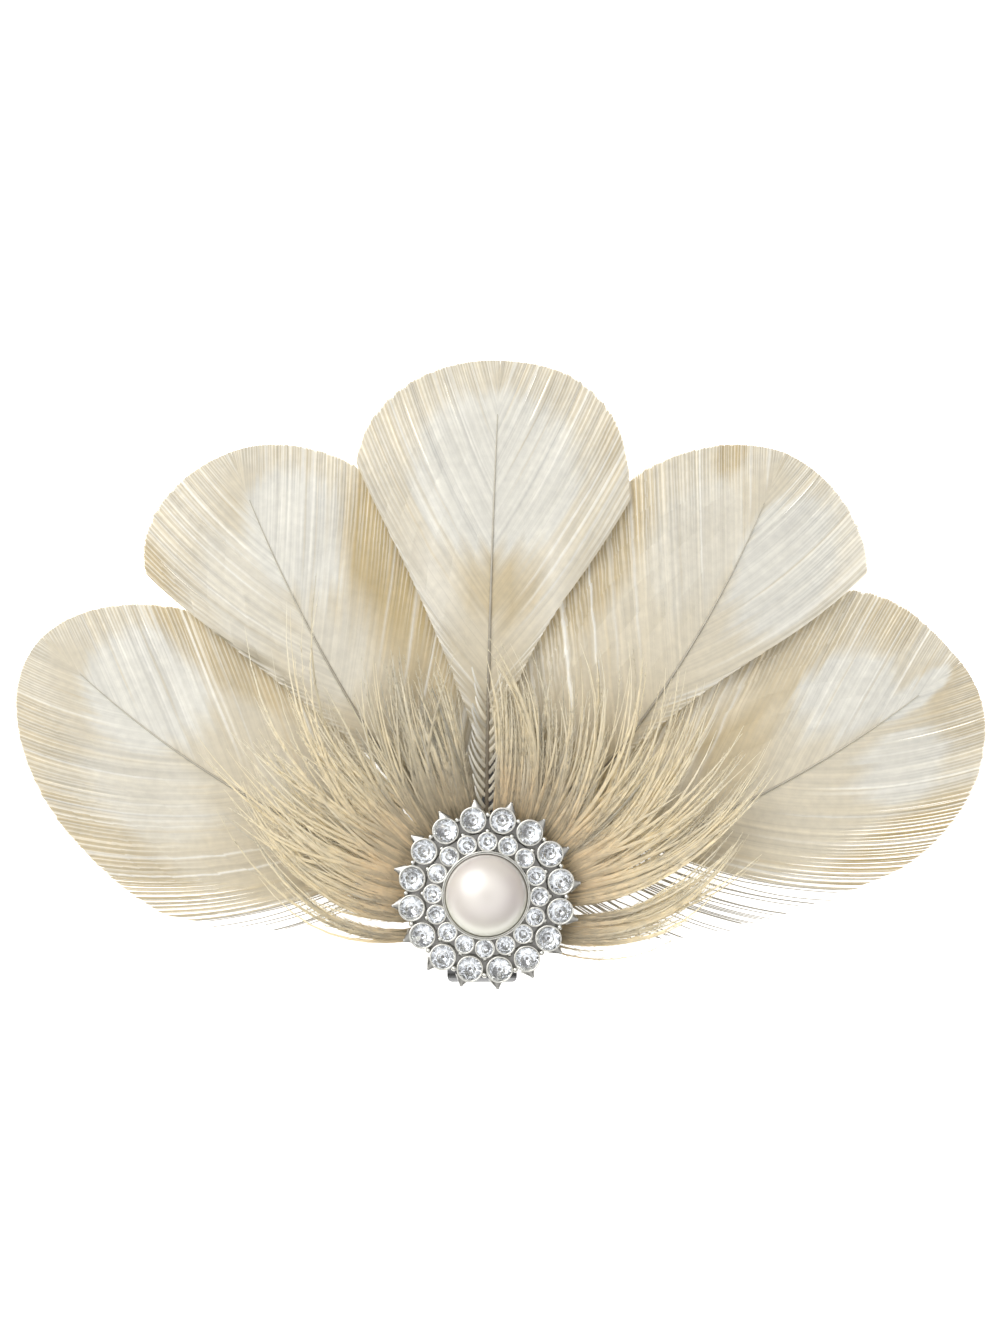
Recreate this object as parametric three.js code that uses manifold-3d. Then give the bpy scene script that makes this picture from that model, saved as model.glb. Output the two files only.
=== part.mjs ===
// Feather fascinator: a fan of five bleached peacock eye feathers and a tuft of loose barbs behind a pearl
// and stone brooch, on a hair clip. Millimetres. The fan lies face up on its clip: +Z out of the brooch's
// face, +X to the right seen from the front, +Y to the top of the fan. The origin is on the brooch's axis,
// on the flat underside of the clip.
import * as THREE from "three";
import { mergeVertices } from "three/addons/utils/BufferGeometryUtils.js";
import Module from "manifold-3d";

const wasm = await Module();
wasm.setup();

const UP = new THREE.Vector3(0, 0, 1);
const MERGE = 1e-4;
const radians = THREE.MathUtils.degToRad;
const { lerp, smoothstep } = THREE.MathUtils;

// Hair clip: one strip of spring steel bent to a U, its lower leaf curving up to the upper one at the nose.
const CLIP = {
  width: 12.8,
  centerX: -0.8,
  thickness: 1,
  height: 7,
  bendY: -16.9,
  noseY: 30,
  rampStartY: 17,
  noseGap: 0.4,
  noseWidth: 8.5,
  taperStartY: 8,
  cornerRadius: 1.4,
  blankMargin: 1,
};

// Feathers: each shaft is an arc that starts on the brooch's axis. Headings are degrees from +X, lengths are
// measured along the shaft. A higher layer lies nearer the front.
const FEATHERS = [
  { name: "feather_center", layer: 2, startDeg: 90, endDeg: 87, length: 97 },
  { name: "feather_inner_left", layer: 1, startDeg: 130, endDeg: 110, length: 93.5 },
  { name: "feather_inner_right", layer: 1, startDeg: 42, endDeg: 70, length: 98 },
  { name: "feather_outer_left", layer: 0, startDeg: 166, endDeg: 134, length: 95 },
  { name: "feather_outer_right", layer: 0, startDeg: 12, endDeg: 40, length: 97.5 },
];

// Half vanes: the vane starts at start, flares by a power to its widest, then closes over the tip in a dome
// whose higher power is squarer.
const VANES = {
  feather_center: {
    left: { start: 22, flare: 0.95, wideAt: 77, wide: 25.3, dome: 2 },
    right: { start: 30, flare: 0.85, wideAt: 77, wide: 24.8, dome: 2 },
  },
  feather_inner_left: {
    left: { start: 38, flare: 0.85, wideAt: 78, wide: 22.8, dome: 2 },
    right: { start: 12, flare: 0.5, wideAt: 62, wide: 27, dome: 2 },
  },
  feather_inner_right: {
    left: { start: 12, flare: 0.5, wideAt: 66, wide: 28, dome: 2 },
    right: { start: 46, flare: 1, wideAt: 83, wide: 23, dome: 2 },
  },
  feather_outer_left: {
    left: { start: 13, flare: 0.5, wideAt: 50, wide: 26.7, dome: 2 },
    right: { start: 12, flare: 0.5, wideAt: 58, wide: 26, dome: 2 },
  },
  feather_outer_right: {
    left: { start: 12, flare: 0.5, wideAt: 64, wide: 28, dome: 3 },
    right: { start: 9, flare: 0.32, wideAt: 66, wide: 24, dome: 2 },
  },
};
const QUILL = { start: 8, flank: 0.95, flankStep: 0.05 };
const SHAFT = { baseRadius: 0.9, tipRadius: 0.35 };
const VANE = { thickness: 0.6, camber: 1.1, lockPitch: 3.5, notch: 0.045, tipGap: 1.2 };
const BARB = { baseDeg: 58, tipDeg: 18, sweepDeg: 14, sweepLength: 40, step: 0.5 };
const BARB_SHARES = [0.3, 0.65, 1];

// Fan: all quills lie on the clip under the brooch, and further out each layer rises clear of the last.
const FAN = {
  quillZ: 8.2,
  layerStart: 13,
  layerRun: 22,
  layerStep: 1.6,
  layerSpread: 1.1,
  tipRise: 2,
  reach: 95,
};

// Loose barb tuft: its locks reach out from a flat round head by these lengths round the brooch.
const TUFT = {
  headRadius: 14,
  headBottom: 9.4,
  headTop: 11.2,
  sheetZ: 10.2,
  lift: 1.4,
  thickness: 0.6,
  innerRadius: 10,
  locks: 22,
  notchShare: 0.74,
  lean: 0.12,
  tipShare: 0.6,
};
const TUFT_REACH = [
  { deg: -14, reach: 30 },
  { deg: 8, reach: 54 },
  { deg: 32, reach: 50 },
  { deg: 62, reach: 46 },
  { deg: 90, reach: 44 },
  { deg: 120, reach: 47 },
  { deg: 150, reach: 58 },
  { deg: 172, reach: 46 },
  { deg: 196, reach: 30 },
];
const TUFT_SHARES = [0, 0.35, 0.7, 1];

// Brooch: two rings of cut stones round a half pearl in a bezel, on one soldered setting.
const SETTING_Z = 11.5;
const PLATE = { radius: 14.5, thickness: 1.3, dish: 0.4 };
const INNER_RING = { outerRadius: 11.2, height: 3.5 };
const BEZEL = { innerRadius: 7.6, outerRadius: 8.1, height: 4.4, floor: 1.6 };
const PEARL = { radius: 7.3, dome: 5.5, girdleHeight: 3.6, foot: 0.96, seatGap: 0.3, rings: 7 };
const STONES_PER_RING = 16;
const OUTER_STONE = { radius: 2.15, ring: 13.8, firstDeg: 100, girdleHeight: 2.7 };
const INNER_STONE = { radius: 1.55, ring: 9.7, firstDeg: 88.6, girdleHeight: 3.5 };
const CUT = { sides: 8, table: 0.56, crown: 0.34, girdle: 0.1, pavilion: 0.7 };
const SEAT_GAP = 0.25;
const CUP = { wall: 0.42, sides: 8, height: 2.8, foot: 0.86 };
const PETAL = {
  tipRadius: 16.9,
  rootRadius: 14.2,
  rootWidth: 1.5,
  tipWidth: 0.3,
  flatness: 0.7,
  turnDeg: -3,
  height: 1.7,
  sides: 5,
};
const CLAW = { ring: 14.4, topRadius: 0.32, footRadius: 0.5, overGirdle: 0.35, sides: 6 };
const ROUND_SIDES = 32;
const PEARL_SIDES = 28;

// A closed geometry with its shared vertices merged and its faces pointing out.
function closed(geometry) {
  geometry.deleteAttribute("normal");
  geometry.deleteAttribute("uv");
  const merged = mergeVertices(geometry, MERGE);
  const position = merged.attributes.position;
  const index = merged.index.array;
  const corner = (i) => new THREE.Vector3().fromBufferAttribute(position, index[i]);
  let volume = 0;
  for (let i = 0; i < index.length; i += 3) {
    volume += corner(i).dot(corner(i + 1).cross(corner(i + 2)));
  }
  if (volume < 0) index.reverse();
  return merged;
}

function toSolid(geometry) {
  const made = closed(geometry);
  const vertProperties = made.attributes.position.array;
  const triVerts = new Uint32Array(made.index.array);
  return new wasm.Manifold(new wasm.Mesh({ numProp: 3, vertProperties, triVerts }));
}

function toGeometry(solid) {
  const mesh = solid.getMesh();
  const geometry = new THREE.BufferGeometry();
  geometry.setAttribute("position", new THREE.BufferAttribute(mesh.vertProperties, 3));
  geometry.setIndex(new THREE.BufferAttribute(mesh.triVerts, 1));
  return geometry;
}

// A solid turned about Z from a profile of [radius, height] pairs that starts and ends on the axis.
function turned(profile, sides) {
  const points = profile.map(([radius, height]) => new THREE.Vector2(radius, height));
  return new THREE.LatheGeometry(points, sides).rotateX(Math.PI / 2);
}

// A point on a circle about the origin.
function around(radius, degrees, z) {
  return new THREE.Vector3(radius, 0, z).applyAxisAngle(UP, radians(degrees));
}

// A closed sheet from a grid of cells, each with a top and a bottom point.
function sheet(grid) {
  const rows = grid.length;
  const columns = grid[0].length;
  const positions = [];
  for (const side of ["top", "bottom"]) {
    for (const row of grid) {
      for (const cell of row) positions.push(...cell[side]);
    }
  }
  const top = (r, c) => r * columns + c;
  const bottom = (r, c) => rows * columns + top(r, c);
  const faces = [];
  const quad = (a, b, c, d) => faces.push(a, b, c, a, c, d);
  for (let r = 0; r + 1 < rows; r++) {
    for (let c = 0; c + 1 < columns; c++) {
      quad(top(r, c), top(r, c + 1), top(r + 1, c + 1), top(r + 1, c));
      quad(bottom(r, c), bottom(r + 1, c), bottom(r + 1, c + 1), bottom(r, c + 1));
    }
    quad(top(r, 0), top(r + 1, 0), bottom(r + 1, 0), bottom(r, 0));
    const end = columns - 1;
    quad(top(r + 1, end), top(r, end), bottom(r, end), bottom(r + 1, end));
  }
  for (let c = 0; c + 1 < columns; c++) {
    quad(top(0, c + 1), top(0, c), bottom(0, c), bottom(0, c + 1));
    const end = rows - 1;
    quad(top(end, c), top(end, c + 1), bottom(end, c + 1), bottom(end, c));
  }
  const geometry = new THREE.BufferGeometry();
  geometry.setAttribute("position", new THREE.Float32BufferAttribute(positions, 3));
  geometry.setIndex(faces);
  return closed(geometry);
}

// Height between neighbouring layers of the fan at a distance from the brooch's axis.
function layerPitch(distance) {
  const opening = smoothstep(distance, FAN.layerStart, FAN.layerStart + FAN.layerRun);
  const spread = Math.max(0, distance - FAN.layerStart) / FAN.reach;
  return FAN.layerStep * opening + FAN.layerSpread * spread;
}

function fanHeight(layer, distance) {
  return FAN.quillZ + layer * layerPitch(distance) + FAN.tipRise * (distance / FAN.reach) ** 2;
}

// The shaft's point and heading at a distance along it.
function shaftAt(feather, along) {
  const start = radians(feather.startDeg);
  const bend = radians(feather.endDeg - feather.startDeg) / feather.length;
  const heading = start + bend * along;
  const x = (Math.sin(heading) - Math.sin(start)) / bend;
  const y = (Math.cos(start) - Math.cos(heading)) / bend;
  return { x, y, heading };
}

// Half-width of a vane's side at a distance along the shaft.
function halfWidth(side, length, along) {
  if (along <= side.start || along >= length) return 0;
  if (along < side.wideAt) {
    return side.wide * ((along - side.start) / (side.wideAt - side.start)) ** side.flare;
  }
  const toTip = (along - side.wideAt) / (length - side.wideAt);
  return side.wide * (1 - toTip ** side.dome) ** (1 / side.dome);
}

// A barb in shaft coordinates: it leaves the shaft at a slant, bends towards the tip and ends at the outline.
function barbPath(side, length, root) {
  const path = [{ along: root, across: 0 }];
  const slant = lerp(BARB.baseDeg, BARB.tipDeg, root / length);
  for (let run = 0; run < length; run += BARB.step) {
    const last = path[path.length - 1];
    const angle = radians(slant - (BARB.sweepDeg * run) / BARB.sweepLength);
    const along = last.along + BARB.step * Math.cos(angle);
    const across = last.across + BARB.step * Math.sin(angle);
    if (across > halfWidth(side, length, along)) break;
    path.push({ along, across });
  }
  return path;
}

// The point a share of the way along a path.
function alongPath(path, share) {
  const place = share * (path.length - 1);
  const i = Math.min(Math.floor(place), path.length - 2);
  return {
    along: lerp(path[i].along, path[i + 1].along, place - i),
    across: lerp(path[i].across, path[i + 1].across, place - i),
  };
}

function featherGeometry(feather) {
  const { length, layer } = feather;
  const shaftRadius = (along) => lerp(SHAFT.baseRadius, SHAFT.tipRadius, along / length);
  const cell = (along, across, half) => {
    const { x, y, heading } = shaftAt(feather, along);
    const px = x - across * Math.sin(heading);
    const py = y + across * Math.cos(heading);
    const sag = VANE.camber * (across / VANES[feather.name].left.wide) ** 2;
    const z = fanHeight(layer, Math.hypot(px, py)) - sag;
    return { top: [px, py, z + half], bottom: [px, py, z - half] };
  };
  const halfRow = (side, sign, root, isNotch) => {
    const flank = shaftRadius(root);
    const path = barbPath(side, length, root);
    const bare = path.length < 2 + flank / BARB.step;
    const reach = isNotch ? 1 - VANE.notch : 1;
    const spots = BARB_SHARES.map((share, i) => {
      const quillSpot = { along: root, across: flank * (1 + QUILL.flankStep * i) };
      if (bare) return quillSpot;
      const spot = alongPath(path, share * reach);
      return { along: spot.along, across: Math.max(spot.across, quillSpot.across) };
    });
    spots.unshift({ along: root + flank * (bare ? 0 : 1), across: flank * QUILL.flank });
    return spots.map(({ along, across }) => cell(along, sign * across, VANE.thickness / 2));
  };
  const steps = Math.round((length - VANE.tipGap - QUILL.start) / VANE.lockPitch);
  const grid = [];
  for (let i = 0; i <= steps; i++) {
    const root = lerp(QUILL.start, length - VANE.tipGap, i / steps);
    const left = halfRow(VANES[feather.name].left, 1, root, i % 2 === 1);
    const right = halfRow(VANES[feather.name].right, -1, root, i % 2 === 1);
    grid.push([...left.reverse(), cell(root, 0, shaftRadius(root)), ...right]);
  }
  return sheet(grid);
}

// The tuft's reach at an angle, from the table.
function tuftReach(deg) {
  const next = TUFT_REACH.findIndex((row) => row.deg >= deg);
  if (next <= 0) return TUFT_REACH[0].reach;
  const [a, b] = [TUFT_REACH[next - 1], TUFT_REACH[next]];
  return lerp(a.reach, b.reach, smoothstep(deg, a.deg, b.deg));
}

function tuftGeometry() {
  const first = TUFT_REACH[0].deg;
  const last = TUFT_REACH[TUFT_REACH.length - 1].deg;
  const columns = TUFT.locks * 2;
  const grid = [];
  for (let i = 0; i <= columns; i++) {
    const deg = lerp(first, last, i / columns);
    const reach = tuftReach(deg) * (i % 2 === 0 ? TUFT.notchShare : 1);
    const row = TUFT_SHARES.map((share) => {
      const distance = lerp(TUFT.innerRadius, reach, share);
      const lean = TUFT.lean * share * Math.cos(radians(deg));
      const place = around(distance, deg, 0).applyAxisAngle(UP, lean);
      const puff = TUFT.lift * smoothstep(distance, PETAL.tipRadius, FAN.reach / 2);
      const z = TUFT.sheetZ + fanHeight(2, distance) - FAN.quillZ + puff;
      const half = (TUFT.thickness / 2) * lerp(1, TUFT.tipShare, share);
      return { top: [place.x, place.y, z + half], bottom: [place.x, place.y, z - half] };
    });
    grid.push(row);
  }
  const { headRadius, headBottom, headTop } = TUFT;
  const head = turned(
    [[0, headBottom], [headRadius, headBottom], [headRadius, headTop], [0, headTop]],
    ROUND_SIDES,
  );
  return toGeometry(toSolid(sheet(grid)).add(toSolid(head)));
}

// A cut stone's profile about its girdle: pavilion point, girdle, crown and table.
function stoneGeometry(radius) {
  const half = (CUT.girdle * radius) / 2;
  const crown = half + CUT.crown * radius;
  return closed(
    turned(
      [
        [0, -half - CUT.pavilion * radius],
        [radius, -half],
        [radius, half],
        [radius * CUT.table, crown],
        [0, crown],
      ],
      CUT.sides,
    ),
  );
}

// The hollow that a stone sits in, open above its girdle.
function seatGeometry(radius) {
  const wide = radius + SEAT_GAP;
  const half = (CUT.girdle * radius) / 2;
  const rim = half + radius;
  return turned(
    [[0, -half - CUT.pavilion * wide - SEAT_GAP], [wide, -half - SEAT_GAP], [wide, rim], [0, rim]],
    CUT.sides,
  );
}

// The places of a ring of stones, each turned so that a facet faces outwards.
function ringPlaces(stone) {
  return Array.from({ length: STONES_PER_RING }, (_, i) => {
    const deg = stone.firstDeg + (i * 360) / STONES_PER_RING;
    return { deg, at: around(stone.ring, deg, SETTING_Z + stone.girdleHeight) };
  });
}

function settingGeometry() {
  const { outerRadius, height } = INNER_RING;
  const body = turned(
    [
      [0, 0],
      [PLATE.radius, 0],
      [PLATE.radius, PLATE.thickness],
      [outerRadius, PLATE.thickness + PLATE.dish],
      [outerRadius, height],
      [BEZEL.outerRadius, height],
      [BEZEL.outerRadius, BEZEL.height],
      [BEZEL.innerRadius, BEZEL.height],
      [BEZEL.innerRadius, BEZEL.floor],
      [0, BEZEL.floor],
    ],
    ROUND_SIDES,
  ).translate(0, 0, SETTING_Z);
  let solid = toSolid(body);
  const stoneDeg = 360 / STONES_PER_RING;
  const cupRadius = OUTER_STONE.radius + CUP.wall;
  const clawHeight = OUTER_STONE.girdleHeight + CLAW.overGirdle;
  for (const { deg } of ringPlaces(OUTER_STONE)) {
    const cup = new THREE.CylinderGeometry(cupRadius, cupRadius * CUP.foot, CUP.height, CUP.sides);
    cup.rotateX(Math.PI / 2).translate(OUTER_STONE.ring, 0, SETTING_Z + CUP.height / 2);
    cup.rotateZ(radians(deg));
    const length = PETAL.tipRadius - PETAL.rootRadius;
    const petal = new THREE.CylinderGeometry(PETAL.tipWidth, PETAL.rootWidth, length, PETAL.sides);
    petal.rotateZ(-Math.PI / 2).scale(1, 1, PETAL.flatness);
    petal.translate(PETAL.rootRadius + length / 2, 0, SETTING_Z + PETAL.height);
    petal.rotateZ(radians(deg + PETAL.turnDeg));
    const claw = new THREE.CylinderGeometry(CLAW.topRadius, CLAW.footRadius, clawHeight, CLAW.sides);
    claw.rotateX(Math.PI / 2).translate(CLAW.ring, 0, SETTING_Z + clawHeight / 2);
    claw.rotateZ(radians(deg + stoneDeg / 2));
    solid = solid.add(toSolid(cup)).add(toSolid(petal)).add(toSolid(claw));
  }
  for (const stone of [OUTER_STONE, INNER_STONE]) {
    for (const { deg, at } of ringPlaces(stone)) {
      const seat = seatGeometry(stone.radius).rotateZ(radians(deg)).translate(at.x, at.y, at.z);
      solid = solid.subtract(toSolid(seat));
    }
  }
  return toGeometry(solid);
}

function pearlGeometry() {
  const floor = BEZEL.floor + PEARL.seatGap;
  const profile = [[0, floor], [PEARL.radius * PEARL.foot, floor], [PEARL.radius, PEARL.girdleHeight]];
  for (let i = 1; i < PEARL.rings; i++) {
    const tilt = (Math.PI / 2) * (i / PEARL.rings);
    const radius = PEARL.radius * Math.cos(tilt);
    profile.push([radius, PEARL.girdleHeight + PEARL.dome * Math.sin(tilt)]);
  }
  profile.push([0, PEARL.girdleHeight + PEARL.dome]);
  return closed(turned(profile, PEARL_SIDES).translate(0, 0, SETTING_Z));
}

function clipGeometry() {
  const { thickness, height, bendY, noseY, rampStartY, noseGap } = CLIP;
  const bend = height / 2;
  const bendCenterY = bendY + bend;
  const noseTop = height - thickness - noseGap;
  const half = (noseY - rampStartY) / 2;
  // The strip's side view, with Y across the page and Z up it.
  const side = new THREE.Shape();
  side.moveTo(bendCenterY, 0);
  side.lineTo(rampStartY, 0);
  side.bezierCurveTo(rampStartY + half, 0, noseY - half, noseTop - thickness, noseY, noseTop - thickness);
  side.lineTo(noseY, noseTop);
  side.bezierCurveTo(noseY - half, noseTop, rampStartY + half, thickness, rampStartY, thickness);
  side.lineTo(bendCenterY, thickness);
  side.absarc(bendCenterY, bend, bend - thickness, -Math.PI / 2, -1.5 * Math.PI, true);
  side.lineTo(noseY, height - thickness);
  side.lineTo(noseY, height);
  side.lineTo(bendCenterY, height);
  side.absarc(bendCenterY, bend, bend, Math.PI / 2, 1.5 * Math.PI, false);
  const strip = new THREE.ExtrudeGeometry(side, {
    depth: CLIP.width,
    bevelEnabled: false,
    curveSegments: 10,
  });
  strip.rotateY(Math.PI / 2).rotateX(Math.PI / 2).translate(-CLIP.width / 2, 0, 0);
  // The strip's plan: square at the bend with rounded corners, tapering to the nose.
  const w = CLIP.width / 2;
  const n = CLIP.noseWidth / 2;
  const r = CLIP.cornerRadius;
  const plan = new THREE.Shape();
  plan.moveTo(-w + r, bendY);
  plan.lineTo(w - r, bendY);
  plan.quadraticCurveTo(w, bendY, w, bendY + r);
  plan.lineTo(w, CLIP.taperStartY);
  plan.lineTo(n, noseY - n);
  plan.quadraticCurveTo(n, noseY, 0, noseY);
  plan.quadraticCurveTo(-n, noseY, -n, noseY - n);
  plan.lineTo(-w, CLIP.taperStartY);
  plan.lineTo(-w, bendY + r);
  plan.quadraticCurveTo(-w, bendY, -w + r, bendY);
  const blank = new THREE.ExtrudeGeometry(plan, {
    depth: height + 2 * CLIP.blankMargin,
    bevelEnabled: false,
    curveSegments: 5,
  });
  blank.translate(0, 0, -CLIP.blankMargin);
  return toGeometry(toSolid(strip).intersect(toSolid(blank))).translate(CLIP.centerX, 0, 0);
}

function finish(color, roughness, metalness) {
  return new THREE.MeshStandardMaterial({ color, roughness, metalness });
}

const IVORY = finish(0xe6e0cf, 0.75, 0);
const STRAW = finish(0xc8b68e, 0.85, 0);
const SILVER = finish(0xd6d7da, 0.2, 1);
const STEEL = finish(0xc9cacc, 0.3, 1);
const CRYSTAL = finish(0xeef2f5, 0.05, 0);
const NACRE = finish(0xf2e6dc, 0.25, 0);

const fascinator = new THREE.Group();

function addPiece(name, geometry, material, place) {
  const mesh = new THREE.Mesh(geometry, material.clone());
  mesh.name = name;
  if (place) {
    mesh.position.copy(place.at);
    mesh.rotation.z = radians(place.deg);
  }
  fascinator.add(mesh);
}

addPiece("hair_clip", clipGeometry(), STEEL);
for (const feather of FEATHERS) addPiece(feather.name, featherGeometry(feather), IVORY);
addPiece("barb_tuft", tuftGeometry(), STRAW);
addPiece("brooch_setting", settingGeometry(), SILVER);
addPiece("pearl", pearlGeometry(), NACRE);
const RINGS = [
  ["outer_stone", OUTER_STONE],
  ["inner_stone", INNER_STONE],
];
for (const [name, stone] of RINGS) {
  ringPlaces(stone).forEach((place, i) => {
    const number = String(i + 1).padStart(2, "0");
    addPiece(`${name}_${number}`, stoneGeometry(stone.radius), CRYSTAL, place);
  });
}

export default fascinator;
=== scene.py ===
import math

import bpy
import numpy as np
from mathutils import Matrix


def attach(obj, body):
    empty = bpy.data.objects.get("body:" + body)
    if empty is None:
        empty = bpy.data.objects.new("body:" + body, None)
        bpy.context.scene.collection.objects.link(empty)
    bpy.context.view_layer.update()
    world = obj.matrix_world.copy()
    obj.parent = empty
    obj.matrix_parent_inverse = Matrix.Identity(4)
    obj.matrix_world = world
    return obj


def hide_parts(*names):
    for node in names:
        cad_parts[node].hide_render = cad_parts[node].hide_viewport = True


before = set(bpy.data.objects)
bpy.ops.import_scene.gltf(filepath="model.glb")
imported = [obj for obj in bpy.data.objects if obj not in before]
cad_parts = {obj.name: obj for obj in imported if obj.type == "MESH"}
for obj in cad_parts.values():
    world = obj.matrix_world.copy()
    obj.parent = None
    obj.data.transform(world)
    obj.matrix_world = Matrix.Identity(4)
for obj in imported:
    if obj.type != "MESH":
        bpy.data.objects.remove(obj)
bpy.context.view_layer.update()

MM = 0.001

# Feathers: each shaft is an arc from the brooch's axis, its headings in degrees from +X.
FEATHERS = {
    "feather_center": {"layer": 2, "start": 90, "end": 87, "length": 97},
    "feather_inner_left": {"layer": 1, "start": 130, "end": 110, "length": 93.5},
    "feather_inner_right": {"layer": 1, "start": 42, "end": 70, "length": 98},
    "feather_outer_left": {"layer": 0, "start": 166, "end": 134, "length": 95},
    "feather_outer_right": {"layer": 0, "start": 12, "end": 40, "length": 97.5},
}

# Half vanes: start along the shaft, flare power, widest place, half width there, and the power of the dome.
# The sparse part of a vane, up to that distance along the shaft, keeps only a share of its barbs,
# and up to the next distance its barbs gather in points that stand apart like a comb.
VANE_COLUMNS = ("start", "flare", "wide_at", "wide", "dome", "sparse_to", "sparse_keep", "comb_to")
VANES = {
    "feather_center": {
        "left": (20, 1.3, 77, 25.3, 2, 0, 1, 0),
        "right": (18, 1.7, 70, 24.8, 2.6, 0, 1, 0),
    },
    "feather_inner_left": {
        "left": (20, 1.5, 78, 22.8, 2, 0, 1, 0),
        "right": (7, 0.28, 62, 27, 2, 0, 1, 0),
    },
    "feather_inner_right": {
        "left": (7, 0.21, 66, 28, 2, 0, 1, 0),
        "right": (20, 2.1, 81, 23.3, 1.7, 0, 1, 0),
    },
    "feather_outer_left": {
        "left": (13, 0.5, 50, 26.7, 2, 19, 0.5, 28),
        "right": (12, 0.5, 58, 26, 2, 0, 1, 0),
    },
    "feather_outer_right": {
        "left": (12, 0.5, 64, 28, 3, 0, 1, 0),
        "right": (9, 0.32, 68, 24.6, 2, 31, 0.42, 50),
    },
}

# Patches of colour on the vanes: centre along and across the shaft, with left as plus, half sizes, tint and
# strength. A few light patches are painted light against shade cast by the feathers above, and the darkest
# patches are painted shadow.
PATCH_COLUMNS = ("along", "across", "half_along", "half_across", "tint", "strength")
PATCHES = {
    "feather_center": [
        (76.5, 0, 16, 16, "eye", 1),
        (56, 11, 14, 4.5, "light", 0.45),
        (56, -11, 13, 4, "light", 0.4),
        (55.5, -2, 7, 7.5, "straw", 0.6),
        (82, -21, 6, 2.5, "straw", 0.35),
    ],
    "feather_inner_left": [
        (75, -6, 13, 10, "eye", 1),
        (70, 8, 12, 7, "eye", 0.5),
        (62, -21, 20, 11, "straw", 1),
        (46, -18, 16, 9, "straw", 0.6),
        (78, 22, 9, 4, "straw", 0.7),
        (52, -1, 10, 7, "eye", 0.5),
        # Painted shadow along the edge of the left vane, where it lies over the outer left feather.
        (50, 8.5, 5, 1.5, "painted_shadow", 0.5),
        (57, 11.8, 5, 1.6, "painted_shadow", 0.7),
        (63, 14.8, 4, 1.5, "painted_shadow", 0.7),
    ],
    "feather_inner_right": [
        (88, -16, 13, 8, "light", 0.45),
        (79, -8, 14, 9, "eye", 1),
        (76, 8, 14, 8, "eye", 0.45),
        (64, 23, 22, 7, "straw", 0.75),
        (94, 9, 5, 3, "straw", 0.8),
    ],
    "feather_outer_left": [
        (74, -6, 13, 12, "eye", 1),
        (66, -21, 25, 7, "straw", 0.75),
        (86, 14, 9, 6, "straw", 0.3),
        (64, 23, 26, 6, "straw", 0.5),
        (63, 9, 13, 8, "eye", 0.5),
        # Painted light: lifts the shade that the inner left feather's edge casts here.
        (39, -6, 9, 7, "light", 0.5),
    ],
    "feather_outer_right": [
        (62, 20, 28, 10, "straw", 0.45),
        # Painted light: lifts the shade that the inner right feather's edge casts here.
        (54, 20, 8, 7, "light", 0.3),
        (52, 10, 10, 7, "straw", 0.5),
        # Painted light: lifts the shade beside the inner right feather's shaft.
        (38, 9, 9, 7, "light", 0.4),
        (93, -6, 7, 9, "straw", 0.4),
        (70, -21, 17, 5.5, "straw", 1),
        (92, 14, 6, 6, "straw", 0.5),
        (77, 8, 11, 7.5, "eye", 1),
        (78, -9, 9, 6.5, "eye", 0.9),
        (87, 0.5, 9, 2.5, "eye", 1),
    ],
}

# Where a patch starts and ends fading, as shares of its half sizes, by colour.
PATCH_EDGE = {"eye": (0.86, 1.06), "light": (0.5, 1.2), "straw": (0.62, 1.16), "painted_shadow": (0.5, 1.2)}

# Heights of the fan's layers, by the distance from the brooch's axis.
FAN = {
    "quill_z": 8.2,
    "layer_start": 13,
    "layer_run": 22,
    "layer_step": 1.6,
    "layer_spread": 1.1,
    "tip_rise": 2,
    "reach": 95,
}
VANE = {"camber": 1.1, "wave": 0.3, "wave_length": 17, "wave_skew": 0.6, "wave_grow": 8}

# Barbs: their slant and sweep, how they lie over each other and how they end.
BARB = {
    "base_deg": 58,
    "tip_deg": 18,
    "tip_close": 0.1,
    "tip_run": 12,
    "tip_gap": 1,
    "sweep_deg": 14,
    "sweep_length": 40,
    "spacing": 0.27,
    "root_spread": 0.1,
    "longest": 60,
    "length_steps": 480,
    "rings": 12,
    "half_depth": 0.012,
    "depth_share": 0.6,
    "shingle_deg": 5,
    "lift": 0.1,
    "lift_run": 14,
    "slant_spread": 0.2,
    "curl_spread": 0.02,
    "end_spread": 0.003,
    "tip_crowd": 1.7,
    "shortest": 1.2,
}
STRAND_END = 0.03
CLUMP = {"least": 3, "most": 5, "pull": 0.08, "from": 0.8}
COMB = {"pull": 0.65, "from": 0.25, "to": 0.85, "run": 6, "thin": 0.35}
SLIT = {
    "per_side": 3,
    "place_lean": (1.1, 1.6),
    "half_width": 0.11,
    "width_spread": (0.4, 1.1),
    "run": 2,
    "clear": 8,
    "opens": (0.15, 0.5),
    "open_run": 0.35,
    "close": 0.7,
    "close_from": 0.85,
}
COVER = {"closed": 2, "edge": 1.7, "edge_from": 0.75, "sparse": 0.16, "sparse_taper": 0.5}

# Colour along the barbs: ground, fringe, streaks, lines near the rim, and what is uneven from barb to barb.
GROUND = {"from": 0.2, "to": 0.66}
FRINGE = {"from": 0.84, "strength": 0.06, "spread": (0.4, 1.5)}
STREAK = {"barbs": 1.2, "place_lean": (1.1, 1.5), "spread": (0.4, 1), "from": 0.15, "to": 0.4}
STREAK_TINTS = {"light": {"count": 10, "strength": 1}, "straw": {"count": 5, "strength": 0.35}}
LINE = {"barbs": 3.6, "spread": (0.8, 1.2), "from": 0.45, "to": 0.85, "dark": 0.1, "light": 0.6}
RAGGED = {"slow": 0.03, "run": 6, "quick": 0.015}
BARB_TONE = {"slow": 0.03, "run": 3, "quick": 0.015}

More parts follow.
